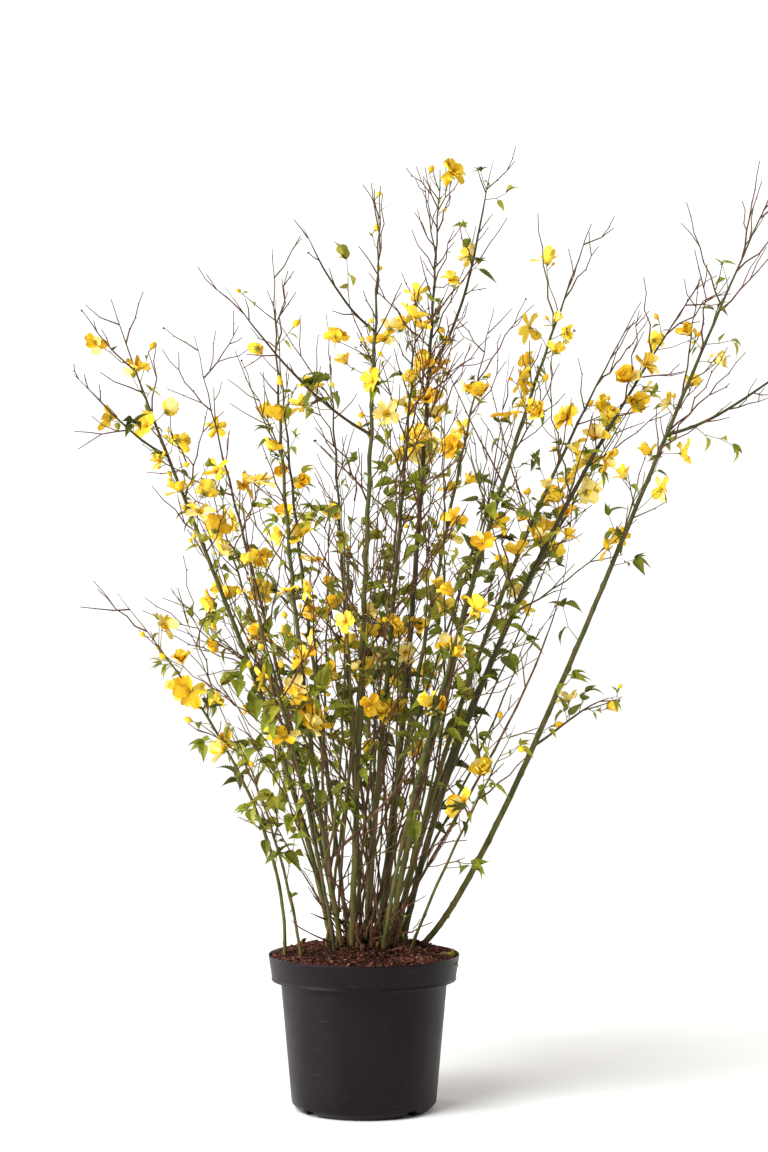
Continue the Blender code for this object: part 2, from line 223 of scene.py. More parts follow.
# Flowers: sizes, how far they open, the share with one ring of petals, the second ring's size,
# opening and turn, the share of petals in the flower's own tone, and the shares of the tones.
FLOWER_SIZES = (0.74, 1.2)
OPENINGS = (28, 85)
SINGLE = 0.6
INNER_RING = (0.86, -24, 36)
OWN_TONE = 0.7
PETAL_SHARES = (0.42, 0.32, 0.08, 0.18)

# Flowering shoots: the reach of short and long ones, and the share that are short.
SHORT_BLOOMS = (0.006, 0.03)
LONG_BLOOMS = (0.03, 0.065)
SHORT_SHARE = 0.84

# The shares of shoots with an open flower and with a side bud, the buds' lengths, and those of gold.
OPEN_FLOWERS = 0.74
SIDE_BUDDED = 0.3
END_BUDS = (0.008, 0.013)
SIDE_BUDS = (0.006, 0.01)
GOLD_BUDS = 0.6

# Shoots: how far inside the frame's box and above their limb's tip they end, how much they rise, as a
# share of their reach, and how far they lean from their limb, in degrees.
TWIG_MARGIN = 0.002
LEAFY_MARGIN = 0.018
ABOVE_TIP = 0.02
TWIG_RISE = (0.02, 0.25)
LEAFY_RISE = (0.0, 0.3)
BLOOM_RISE = (-0.05, 0.35)
TWIG_LEAN = (24, 58)
LEAFY_LEAN = (38, 75)
BLOOM_LEAN = (40, 80)

# Bare twigs: distance between nodes and the step aside there. The shares of brown twigs, of nodes with
# a side twig, of the others with a bud, and of twigs with a seed head.
INTERNODE = 0.023
ZIGZAG = 0.09
TWIG_TIP = 0.0012
LEAST_TWIG = 0.0015
LEAST_SIDE_TWIG = 0.018
WINTER_BUDS = (0.0022, 0.004)
BROWN_TWIGS = 0.68
SIDE_TWIGS = 0.32
BUDDED = 0.7
SEEDED = 0.05

# Thin stems: how many, the canes that half of them follow and those that none starts by, the spread
# of their feet and tips, the shares that start by the cane they follow and that fork from a cane.
STEMS = 46
THICKET = ("middle_front", "middle_inner", "middle_high", "right_inner", "middle_rear")
CLEAR = ("right_outer", "left_low", "low_right", "low_left", "low_back")
STEM_HANDLE = 0.22
STEM_SPREAD = 0.009
STEM_TIP_SPREAD = 0.034
STEM_BY_ITS_CANE = 0.4
STEM_FORKS = 0.45
STEM_TWIGS = 4

# The crown: its middle and spread, its stubs and dead twigs, and from which reach these fork.
CROWN = (0.004, -0.026)
CROWN_SPREAD = 0.027
STUBS = 18
DEAD_TWIGS = 90
FORKING_REACH = 0.05

# Young shoots from the compost: place, height of the first leaf above it and reach.
SPROUTS = (
    (0.03, -0.052, 0.03, 0.03),
    (0.048, -0.034, 0.012, 0.04),
    (-0.098, -0.04, 0.06, 0.03),
    (0.127, -0.02, 0.004, 0.006),
    (-0.03, 0.06, 0.012, 0.04),
)

# The compost: height and pitch of its lumps, its waves, and how far it is drawn up round the canes.
# Its crumbs: least size, what is added, stretch, unevenness, and the shares of clods and pale ones.
LUMPS = ((0.003, 90.0), (0.0018, 260.0))
WAVES = 14
DRAWN_UP = 0.006
CRUMBS = 11000
CRUMB_SIZE = 0.0006
CRUMB_MORE = 0.0026
CRUMB_STRETCH = ((0.8, 2.6), (0.4, 1.3), (0.4, 1.1))
CRUMB_UNEVEN = 0.26
CLODS = 0.06
PALE_CRUMBS = 0.03
FIBRES = 110
GRIT = 26


# Joined meshes


def added(name, data):
    """A new object in the scene."""
    made = bpy.data.objects.new(name, data)
    bpy.context.collection.objects.link(made)
    return made


class Batch:
    """Points and faces that become one joined piece."""

    def __init__(self):
        self.points, self.faces, self.count = [], [], 0

    def add(self, points, *faces):
        for block in faces:
            self.faces.append(block + self.count)
        self.points.append(points)
        self.count += len(points)
        return self

    def object(self, name, smooth):
        mesh = bpy.data.meshes.new(name)
        faces = [face for block in self.faces for face in block.tolist()]
        mesh.from_pydata(np.concatenate(self.points).tolist(), [], faces)
        mesh.polygons.foreach_set("use_smooth", [smooth] * len(mesh.polygons))
        mesh.update()
        return added(name, mesh)


@lru_cache(maxsize=None)
def grid(rows, columns, wrap):
    """The four-sided faces of a grid of points, closed round its rows if wrap is set."""
    i = np.arange(rows - 1)[:, None] * columns
    j = np.arange(columns if wrap else columns - 1)[None]
    k = (j + 1) % columns
    return np.stack([i + j, i + k, i + columns + k, i + columns + j], axis=-1).reshape(-1, 4)


@lru_cache(maxsize=None)
def fan(ring, columns, pole, flip):
    """The three-sided faces between a ring of points and one point."""
    j = np.arange(columns)
    k = (j + 1) % columns
    near, far = (k, j) if flip else (j, k)
    return np.stack([ring + near, ring + far, np.full(columns, pole)], axis=-1)


def unit(vectors):
    return vectors / np.linalg.norm(vectors, axis=-1, keepdims=True)


def tube(name, path, radii, sides, relief=None):
    """Adds a closed tube along a path of points to the batch of this name."""
    path = np.array(path, dtype=float)
    along = unit(np.gradient(path, axis=0))
    reference = np.eye(3)[np.abs(along.mean(axis=0)).argmin()]
    across = unit(np.cross(along, reference))
    over = np.cross(along, across)
    turns = 2 * np.pi * np.arange(sides) / sides
    rim = across[:, None] * np.cos(turns)[:, None] + over[:, None] * np.sin(turns)[:, None]
    reach = np.array(radii, dtype=float)[:, None, None]
    if relief is not None:
        reach = reach * relief[:, :, None]
    rings = (path[:, None] + rim * reach).reshape(-1, 3)
    ends = np.stack([path[0], path[-1] + along[-1] * radii[-1]])
    last = len(rings) - sides
    batches[name].add(np.concatenate([rings, ends]), grid(len(path), sides, True),
                      fan(0, sides, len(rings), True), fan(last, sides, len(rings) + 1, False))


# Directions


def turned(vector, axis, degrees):
    return Quaternion(axis, math.radians(degrees)) @ vector


def any_direction(rng):
    return Vector(rng.normal(size=3)).normalized()


def square_to(vector, rng):
    """Any direction at right angles to this one."""
    return vector.cross(any_direction(rng)).normalized()


def between(rng, low, high):
    return float(rng.uniform(low, high))


def level(vector):
    """The level direction in which this one leads."""
    return Vector((vector.x, vector.y, 0)).normalized()


# Limbs


def bezier(p0, p1, p2, p3):
    """A cubic curve as a function of its share from 0 to 1."""

    def at(t):
        u = 1 - t
        return p0 * u**3 + p1 * 3 * u * u * t + p2 * 3 * u * t * t + p3 * t**3

    return at


def leaning(out, degrees):
    """The direction that leans this far from upright towards out."""
    lean = math.radians(degrees)
    return out * math.sin(lean) + UP * math.cos(lean)


class Limb:
    """The centre line and taper of one limb."""

    def __init__(self, foot, tip, leans, kick, thick):
        out = level(tip - foot)
        self.side = Vector((-out.y, out.x, 0))
        chord = (tip - foot).length
        low, high = (leaning(out, lean) for lean in leans)
        self.at = bezier(foot, foot + low * chord * kick, tip - high * chord * HANDLE, tip)
        self.thick = thick
        line = [self.at(i / 40) for i in range(41)]
        self.length = sum((b - a).length for a, b in zip(line, line[1:]))

    def along(self, t):
        low, high = max(t - 0.01, 0), min(t + 0.01, 1)
        return (self.at(high) - self.at(low)).normalized()

    def radius(self, t):
        flare = max(0, 1 - t * self.length / FLARE_LENGTH) * (FLARE - 1)
        return self.thick / 2 * (1 - t**TAPER * (1 - TIP_SHARE)) * (1 + flare)

    def heading(self, t, turn, degrees):
        """The direction that leaves the limb at this turn round it, this far from its own."""
        along = self.along(t)
        over = self.side.cross(along).normalized()
        out = self.side * math.cos(turn) + over * math.sin(turn)
        lean = math.radians(degrees)
        return along * math.cos(lean) + out * math.sin(lean)


def heap_height(x, y):
    """The height of the smooth heap of compost."""
    share = np.minimum(np.hypot(x, y) / HEAP_RADIUS, 1.0)
    return POT_HEIGHT - HEAP_EDGE_DROP + HEAP_RISE * (1 - share**2) ** HEAP_ROUNDNESS


def foot_on_heap(x, y):
    """The foot of a stem, a little below the compost."""
    return Vector((x, y, float(heap_height(x, y)) - HOLE_DEPTH))


def cane_limb(cane):
    return Limb(foot_on_heap(*cane.foot), Vector(cane.tip), cane.leans, cane.kick, cane.thick)


def bough_limb(bough, limbs):
    foot = limbs[bough.cane].at(bough.at)
    return Limb(foot, Vector(bough.tip), bough.leans, HANDLE, bough.thick)


# Bark: nodes and rings, with their distances, and the step to and fro at a node. Swellings, buds,
# ridges and roughness are shares of the radius.
NODE_SPACING = 0.036
NODE_LENGTH = 0.003
RING_SPACING = 0.006
LIMB_SIDES = 12
WANDER = 0.001
STRAIGHT_FOOT = 0.05
SWELLING = 0.10
BUD_SWELLING = 0.30
RIDGES = 5
RIDGE_DEPTH = 0.035
ROUGHNESS = 0.012
THIN_FROM = 0.75
THINNING = 0.55


def limb_mesh(name, limb, rng):
    """A limb with ridged bark, swollen at its nodes, that steps a little from side to side."""
    shares = np.linspace(0, 1, max(12, round(limb.length / RING_SPACING)))
    places = shares * limb.length
    nodes = np.cumsum(rng.uniform(0.7, 1.3, round(limb.length / NODE_SPACING) + 4)) * NODE_SPACING
    number = np.searchsorted(nodes, places)
    gaps = np.abs(places[:, None] - nodes[None])
    nearest = gaps.argmin(axis=1)
    swelling = np.exp(-((gaps.min(axis=1) / NODE_LENGTH) ** 2))
    fade = np.clip(places / STRAIGHT_FOOT, 0, 1)
    zigzag = WANDER * np.where(np.arange(len(nodes)) % 2, 1, -1)
    steps = np.interp(places, nodes, zigzag) * fade * (0.6 + shares)
    path = [limb.at(t) + limb.side * step for t, step in zip(shares, steps)]
    radii = np.array([limb.radius(t) for t in shares])
    radii *= 1 - THINNING * np.clip((shares - THIN_FROM) / (1 - THIN_FROM), 0, 1)
    turns = 2 * np.pi * np.arange(LIMB_SIDES) / LIMB_SIDES
    buds = np.cos(turns[None] - nearest[:, None] * GOLDEN_TURN)
    relief = 1 + SWELLING * swelling[:, None] + BUD_SWELLING * swelling[:, None] * np.clip(buds, 0, 1) ** 4
    relief += RIDGE_DEPTH * np.sin(RIDGES * turns[None] + number[:, None] * 0.9)
    relief += rng.normal(0, ROUGHNESS, relief.shape)
    tube(name, path, radii, LIMB_SIDES, relief)


# Twigs


def twig_line(start, heading, reach, rise, rng):
    """The nodes of a twig. It leaves by its heading, bends up by a share of its reach and zigzags."""
    end = start + heading * reach + UP * reach * between(rng, *rise)
    span = (end - start).length
    control = start + heading * span * 0.5
    count = max(2, round(span / INTERNODE))
    side = square_to(end - start, rng)
    line = []
    for k in range(count + 1):
        s = k / count
        point = start * (1 - s) ** 2 + control * 2 * s * (1 - s) + end * s * s
        if 0 < k < count:
            step = span / count * ZIGZAG * between(rng, 0.4, 1.6)
            point += side * (step if k % 2 else -step)
            point += any_direction(rng) * step * 0.5
        line.append(point)
    return line


def twig_mesh(name, line, thick, tip):
    """A twig through its nodes, tapering from one diameter to the other."""
    tube(name, line, np.linspace(thick, tip, len(line)) / 2, 5)


def winter_bud(point, heading, size):
    """A small pointed bud held against the twig."""
    line = [point, point + heading * size * 0.5, point + heading * size]
    tube("winter_buds", line, np.array((0.22, 0.28, 0.06)) * size, 5)


def seed_head(point, heading, rng):
    """The dark dried remains of last year's flower at the end of a twig."""
    for _ in range(6):
        out = (heading * 0.5 + any_direction(rng)).normalized() * between(rng, 0.0016, 0.0032)
        tube("seed_heads", [point, point + out * 0.7, point + out], (0.0006, 0.0010, 0.0003), 5)


def bare_twig(start, heading, reach, thick, rng, forks=1, tone=None):
    """A leafless twig with buds at its nodes and short side twigs in two ranks."""
    tone = tone or ("twigs_bare" if rng.random() < BROWN_TWIGS else "twigs_olive")
    line = twig_line(start, heading, reach, TWIG_RISE, rng)
    twig_mesh(tone, line, thick, TWIG_TIP)
    rank = square_to(heading, rng)
    for k in range(1, len(line) - 1):
        along = (line[k + 1] - line[k - 1]).normalized()
        side = (rank if k % 2 else -rank) + any_direction(rng) * 0.5
        out = (along * 0.85 + side.normalized() * 0.55).normalized()
        if forks and rng.random() < SIDE_TWIGS:
            rest = LEAST_SIDE_TWIG + (1 - k / len(line)) * reach * between(rng, 0.15, 0.6)
            bare_twig(line[k], out, rest, max(thick * 0.65, LEAST_TWIG), rng, forks - 1, tone)
        elif rng.random() < BUDDED:
            winter_bud(line[k], out, between(rng, *WINTER_BUDS))
    if forks and rng.random() < SEEDED:
        seed_head(line[-1], heading, rng)


# Leaves


@lru_cache(maxsize=None)
def leaf_outline():
    """Places along a leaf, its half widths there and how far its teeth stand out or in."""
    s = np.linspace(0, 1, LEAF_ROWS)
    half = s**0.6 * (1 - s) ** 1.9
    half = half / half.max()
    tooth = np.where(np.arange(LEAF_ROWS) % 2, 1.0, -0.35)
    return s, half, tooth


def leaf(tone, base, heading, length, share, bends, rng):
    """An ovate leaf with a drawn-out tip and toothed edges, pleated between its veins."""
    droop, fold, roll = (between(rng, *span) for span in bends)
    s, half, tooth = leaf_outline()
    side = heading.cross(UP)
    side = side.normalized() if side.length > 1e-3 else Vector((1, 0, 0))
    side = turned(side, heading, roll)
    top = side.cross(heading)
    forward, side, top = np.array(heading), np.array(side), np.array(top)
    bend = np.radians(droop) * s
    step = 1 / (LEAF_ROWS - 1)
    ahead = (np.cumsum(np.cos(bend)) - 1) * step
    down = np.cumsum(np.sin(bend)) * step
    spine = np.array(base) + (forward * ahead[:, None] - top * down[:, None]) * length
    normal = top * np.cos(bend)[:, None] + forward * np.sin(bend)[:, None]
    width = length * by_height(LEAF_WIDTHS, share) / 2 * between(rng, 0.80, 1.15)
    reach = (half * width * (1 + TOOTH * tooth))[:, None]
    slant = np.radians(fold)
    lift = normal * (math.sin(slant) * reach + (PLEAT * width * tooth * half)[:, None])
    lean = forward * (TOOTH_LEAN * step * length * (tooth > 0))[:, None]
    left = spine + side * reach * math.cos(slant) + lift + lean
    right = spine - side * reach * math.cos(slant) + lift + lean
    points = np.stack([left, spine, right], axis=1).reshape(-1, 3)
    batches[tone].add(points, grid(LEAF_ROWS, 3, False))


def leaf_tone(rng, share):
    """The tone of all the leaves of a shoot, fresher towards the tips of the canes."""
    young = 0.10 + 0.25 * share
    return rng.choice(("leaves_fresh", "leaves_mid", "leaves_dark", "leaves_young"),
                      p=(0.42, 0.36 - young * 0.4, 0.22 - young * 0.6, young))


def by_height(values, share):
    """Goes from the first value to the second along the upper part of a cane."""
    low, high = values
    return low + (high - low) * min(max((share - 0.35) / 0.5, 0), 1)


def leaf_length(share):
    """Leaves are longest half way up a cane."""
    low = min(share / 0.4, 1)
    return by_height(LEAF_LENGTHS, share) * (LOW_LEAVES + (1 - LOW_LEAVES) * low)


def stalked_leaf(tone, point, heading, length, share, rng):
    """A leaf on its short stalk, mostly hanging outwards."""
    stalk = min(0.008, length * 0.16)
    base = point + heading * stalk
    tube("green_shoots", [point, base], (0.0006, 0.0005), 4)
    drop = heading - UP * between(rng, 0.0, 0.9)
    leaf(tone, base, drop.normalized(), length, share, HANGING, rng)


def tuft(tone, point, heading, length, share, rng, count):
    """Young upright leaves at the end of a shoot."""
    for k in range(count):
        side = turned(square_to(heading, rng), heading, k * 137)
        out = (heading + side * between(rng, 0.25, 1.1)).normalized()
        leaf(tone, point, out, length * between(rng, 0.5, 1.15), share, UPRIGHT, rng)


def leafy_shoot(start, heading, reach, share, rng):
    """A green side shoot with leaves in two ranks and a tuft at its end."""
    tone = leaf_tone(rng, share)
    line = twig_line(start, heading, reach, LEAFY_RISE, rng)
    twig_mesh("green_shoots", line, 0.0015, 0.0009)
    size = leaf_length(share)
    rank = square_to(heading, rng)
    for k in range(1, len(line)):
        along = (line[k] - line[k - 1]).normalized()
        side = rank if k % 2 else -rank
        out = (along * 0.45 + side * 0.9 + UP * 0.1).normalized()
        stalked_leaf(tone, line[k], out, size * between(rng, 0.55, 1.15), share, rng)
    count = 3 + int(rng.integers(0, 3))
    tuft(tone, line[-1], (line[-1] - line[-2]).normalized(), size * 0.8, share, rng, count)


# Flowers


@lru_cache(maxsize=None)
def petal_outline():
    """Places along a petal, its half widths there and places across it."""
    turn = np.linspace(0, np.pi, PETAL_ROWS)
    s = (1 - np.cos(turn)) / 2
    half = np.sin(turn) ** 0.72 * (0.40 + 0.60 * s) ** 0.6
    half[0] = 0.20
    half[-1] = 0.26
    return s, half / half.max(), np.linspace(-1, 1, PETAL_COLUMNS)


def petal(tone, base, axis, out, size, broad, opening, curl, rng):
    """A broad rounded petal, cupped, with a rippled and uneven edge; its throat's deep tone is partly
    painted shade.
    """
    s, half, c = petal_outline()
    side = np.array(axis.cross(out))
    axis, out = np.array(axis), np.array(out)
    bend = np.radians(opening + curl * s)
    step = np.diff(s, prepend=0)
    ahead = np.cumsum(np.sin(bend) * step)
    rise = np.cumsum(np.cos(bend) * step)
    length, width = size * PETAL_LENGTH, size * broad * PETAL_WIDTH / 2 * between(rng, 0.85, 1.12)
    spine = np.array(base) + (out * ahead[:, None] + axis * rise[:, None]) * length
    normal = axis * np.sin(bend)[:, None] - out * np.cos(bend)[:, None]
    ragged = 1 + rng.normal(0, RAGGED, (PETAL_ROWS, PETAL_COLUMNS)) * (np.abs(c) > 0.9)
    sideways = (half[:, None] * c[None] * ragged * width)[..., None] * side
    cup = between(rng, 0.1, 0.7) * half[:, None] * c[None] ** 2
    phase = between(rng, 0, ANY_TURN)
    ripple = RIPPLE * s[:, None] * np.sin(c[None] * 3.1 + s[:, None] * 4 + phase)
    lift = ((cup + ripple + rng.normal(0, 0.02, cup.shape)) * width)[..., None] * normal[:, None]
    notch = -np.where(np.arange(PETAL_ROWS)[:, None] == PETAL_ROWS - 1, 0.05 * (1 - np.abs(c)), 0)
    tip = (notch * length)[..., None] * (out * math.sin(bend[-1]) + axis * math.cos(bend[-1]))
    points = spine[:, None] + sideways + lift + tip
    # The throat rows take the deep tone: partly the petal's own colour at its base, partly painted shade in
    # the flower's cup.
    throat, blade = points[:THROAT_ROWS], points[THROAT_ROWS - 1:]
    batches["petals_deep"].add(throat.reshape(-1, 3), grid(THROAT_ROWS, PETAL_COLUMNS, False))
    batches[tone].add(blade.reshape(-1, 3), grid(len(blade), PETAL_COLUMNS, False))


def sepals(point, axis, size, opening, rng):
    """The green cup and five pointed sepals behind a flower or bud."""
    cup = [point - axis * 0.003, point, point + axis * 0.001]
    tube("sepals", cup, np.array((0.0007, 0.0018, 0.0015)) * size, 6)
    start = square_to(axis, rng)
    lift = math.radians(opening)
    for k in range(PETALS):
        out = turned(start, axis, 360 / PETALS * k)
        side = axis.cross(out) * 0.0014 * size
        lean = (out * math.sin(lift) + axis * math.cos(lift)) * 0.0052 * size
        root = point + out * 0.0013 * size
        waist = root + lean * 0.6
        corners = [root - side, root + side, waist + side * 0.8, root + lean, waist - side * 0.8]
        points = np.array([list(corner) for corner in corners])
        batches["sepals"].add(points, np.array([[0, 1, 2, 4]]), np.array([[4, 2, 3]]))


def flower_tone(rng):
    return rng.choice(("petals_gold", "petals_bright", "petals_deep", "petals_pale"), p=PETAL_SHARES)


def flower(point, axis, rng):
    """An open flower of one ring of petals, or of two, round a boss of stamens."""
    main = flower_tone(rng)
    size = between(rng, *FLOWER_SIZES)
    broad = between(rng, *PETAL_WIDTHS)
    opening = between(rng, *OPENINGS)
    start = square_to(axis, rng)
    rings = ((1.0, 0, 0),) if rng.random() < SINGLE else ((1.0, 0, 0), INNER_RING)
    for share, shut, turn in rings:
        for k in range(PETALS):
            out = turned(start, axis, 360 / PETALS * k + between(rng, -14, 14) + turn)
            tilt = opening + shut + between(rng, -22, 22)
            tone = main if rng.random() < OWN_TONE else flower_tone(rng)
            length = size * share * between(rng, 0.85, 1.1)
            root = point + out * 0.0006
            petal(tone, root, axis, out, length, broad, tilt, between(rng, -40, 50), rng)
    for k in range(STAMENS):
        out = turned(start, axis, 360 / STAMENS * k * 2.4)
        lean = (axis + out * between(rng, 0.05, 0.75)).normalized() * between(rng, 0.004, 0.0072) * size
        root = point + out * 0.0008
        tube("stamens", [root, root + lean * 0.86, root + lean], (0.00016, 0.00014, 0.00042), 4)
    sepals(point, axis, size, 70, rng)


def flower_bud(point, axis, size, rng):
    """A closed golden bud: overlapping petals rolled to a blunt point in a green cup."""
    shares = np.array((0.0, 0.16, 0.38, 0.62, 0.84, 1.0))
    path = [point + axis * size * share for share in shares]
    radii = np.array((0.14, 0.29, 0.37, 0.33, 0.20, 0.05)) * size
    turns = 2 * np.pi * np.arange(8) / 8
    relief = 1 + 0.10 * np.sin(turns[None] * 3 + shares[:, None] * 5)
    tone = "petals_gold" if rng.random() < GOLD_BUDS else "petals_deep"
    tube(tone, path, radii, 8, relief)
    sepals(point + axis * 0.0005, axis, size / 0.010 * 0.8, 22, rng)


def flowering_shoot(start, heading, reach, share, rng):
    """A short green shoot with a few leaves and a flower or a bud at its end."""
    line = twig_line(start, heading, reach, BLOOM_RISE, rng)
    long = reach > 0.05
    twig_mesh("twigs_bare" if long else "green_shoots", line, 0.0018 if long else 0.0014, 0.0010)
    along = (line[-1] - line[-2]).normalized()
    tone = leaf_tone(rng, share)
    size = leaf_length(share) * 0.85
    for k in range(int(rng.integers(0, 3))):
        point = line[-1 - k % (len(line) - 1)]
        out = (along * 0.3 + square_to(along, rng)).normalized()
        stalked_leaf(tone, point, out, size * between(rng, 0.5, 1.0), share, rng)
    axis = (along * 0.7 + any_direction(rng) * 0.75 + UP * 0.15).normalized()
    stalk = between(rng, 0.006, 0.013)
    neck = line[-1] + along * stalk * 0.5
    head = neck + axis * stalk * 0.6
    tube("green_shoots", [line[-1], neck, head], (0.0006, 0.0006, 0.0007), 5)
    if rng.random() < OPEN_FLOWERS:
        flower(head, axis, rng)
    else:
        flower_bud(head, axis, between(rng, *END_BUDS), rng)
    if rng.random() < SIDE_BUDDED:
        side = (along + square_to(along, rng)).normalized()
        top = line[-1] + side * 0.012
        tube("green_shoots", [line[-1], top], (0.0006, 0.0006), 5)
        flower_bud(top, side, between(rng, *SIDE_BUDS), rng)


# Dressing the limbs


def inside(point, margin):
    """Whether a shoot that ends here stays within the frame's box."""
    return all(low + margin < x < high - margin for low, x, high in zip(cad_box[0], point, cad_box[1]))


def side_shoot(limb, t, turn, degrees, reach, margin=LEAFY_MARGIN):
    """A heading and reach that keep within the frame's box, turned round or shortened if need be."""
    for _ in range(8):
        heading = limb.heading(t, turn, degrees)
        end = limb.at(t) + heading * reach + UP * reach * 0.15
        if inside(end, margin) and end.z < limb.at(1).z + ABOVE_TIP:
            break
        turn += math.radians(100)
        reach *= 0.88
    return heading, reach


def band_places(band, turn, rng):
    """How far along its limb each shoot of a band starts, and its turn round it."""
    low, high, count = band
    for k in range(count):
        t = low + (high - low) * (k + rng.random()) / count
        turn += GOLDEN_TURN + between(rng, -0.5, 0.5)
        yield t, turn


def dress(name, limb, rng):
    """Grows twigs, leafy shoots and flowers along one limb, each at its own turn round it."""
    habit = HABITS[name]
    turn = between(rng, 0, 2 * math.pi)
    for t, turn in band_places(habit.twigs, turn, rng):
        room = (1 - t) * limb.length + 0.045
        reach = min(habit.reach * (0.35 + 1.05 * rng.random() ** 2), room)
        heading, reach = side_shoot(limb, t, turn, between(rng, *TWIG_LEAN), reach, TWIG_MARGIN)
        bare_twig(limb.at(t), heading, reach, 0.0021 + 0.006 * reach, rng)
    for t, turn in band_places(habit.leaves, turn, rng):
        reach = between(rng, 0.012, 0.085) * (1.2 - 0.8 * t)
        heading, reach = side_shoot(limb, t, turn, between(rng, *LEAFY_LEAN), reach)
        leafy_shoot(limb.at(t), heading, reach, t, rng)
    for band in habit.blooms:
        for t, turn in band_places(band, turn, rng):
            reach = between(rng, *(SHORT_BLOOMS if rng.random() < SHORT_SHARE else LONG_BLOOMS))
            heading, reach = side_shoot(limb, t, turn, between(rng, *BLOOM_LEAN), reach)
            flowering_shoot(limb.at(t), heading, reach, t, rng)


def thin_stem(place, beside, aim, rng):
    """An older thin stem from a cane, or from the compost by it, that ends part of the way up another."""
    if rng.random() < STEM_FORKS:
        foot = beside.at(between(rng, 0.06, 0.30))
    else:
        foot = foot_on_heap(*(np.array(place) * between(rng, 0.3, 1.0) + rng.normal(0, STEM_SPREAD, 2)))
    tip = aim.at(between(rng, 0.36, 0.84)) + Vector((*rng.normal(0, STEM_TIP_SPREAD, 2), 0))
    leans = (between(rng, 0, 46), between(rng, 0, 26))
    return Limb(foot, tip, leans, STEM_HANDLE, 0.0022 + 0.0026 * rng.random() ** 1.5)


def dress_stem(stem, rng):
    """Bare twigs, with a leafy shoot here and there."""
    for _ in range(STEM_TWIGS):
        t = between(rng, 0.15, 0.98)
        reach = between(rng, 0.04, 0.18)
        turn, lean = between(rng, 0, ANY_TURN), between(rng, 14, 50)
        heading, reach = side_shoot(stem, t, turn, lean, reach, TWIG_MARGIN)
        bare_twig(stem.at(t), heading, reach, between(rng, 0.0018, 0.0028), rng)
    for _ in range(int(rng.integers(0, 3))):
        t = between(rng, 0.30, 0.98)
        turn, lean = between(rng, 0, ANY_TURN), between(rng, *LEAFY_LEAN)
        heading, reach = side_shoot(stem, t, turn, lean, between(rng, 0.01, 0.05))
        leafy_shoot(stem.at(t), heading, reach, t * 0.6, rng)


def crown_place(rng, spread):
    x, y = np.array(CROWN) + rng.normal(0, spread, 2)
    return foot_on_heap(x, y)


def stub(rng):
    """An old stem cut off short, leaning away from the middle of the clump."""
    foot = crown_place(rng, CROWN_SPREAD * 0.7)
    heading = leaning(level(foot), between(rng, 2, 30))
    height = HOLE_DEPTH + between(rng, 0.008, 0.042)
    thick = between(rng, 0.0040, 0.0080)
    shares = np.array((0, 0.25, 0.5, 0.75, 0.98, 1.0))
    path = [foot + heading * height * share for share in shares]
    radii = np.array((1.25, 1.1, 1.0, 0.98, 0.95, 0.5)) * thick / 2
    relief = 1 + rng.normal(0, 0.05, (len(shares), LIMB_SIDES))
    tube("stems_old", path, radii, LIMB_SIDES, relief)


def crown():
    """Cut stubs, dead twigs and a few young leaves where the stems leave the compost."""
    rng = np.random.default_rng([SEED, CROWN_SEED])
    for _ in range(STUBS):
        stub(rng)
    for _ in range(DEAD_TWIGS):
        foot = crown_place(rng, CROWN_SPREAD)
        out = level((level(foot) + any_direction(rng) * 0.6).normalized())
        start = foot + UP * (HOLE_DEPTH + between(rng, 0, 0.045))
        heading = leaning(out, between(rng, 25, 88))
        reach = 0.012 + 0.085 * rng.random() ** 2.5
        thick = between(rng, 0.0018, 0.0034)
        bare_twig(start, heading, reach, thick, rng, int(reach > FORKING_REACH), "twigs_bare")
    for x, y, height, reach in SPROUTS:
        foot = foot_on_heap(x, y)
        heading = leaning(level(foot), between(rng, 5, 30))
        leafy_shoot(foot + UP * height, heading, reach, 0.9, rng)


# Pot


def ramp(x, low, high):
    """0 below low, 1 above high and straight between."""
    return np.clip((x - low) / (high - low), 0, 1)


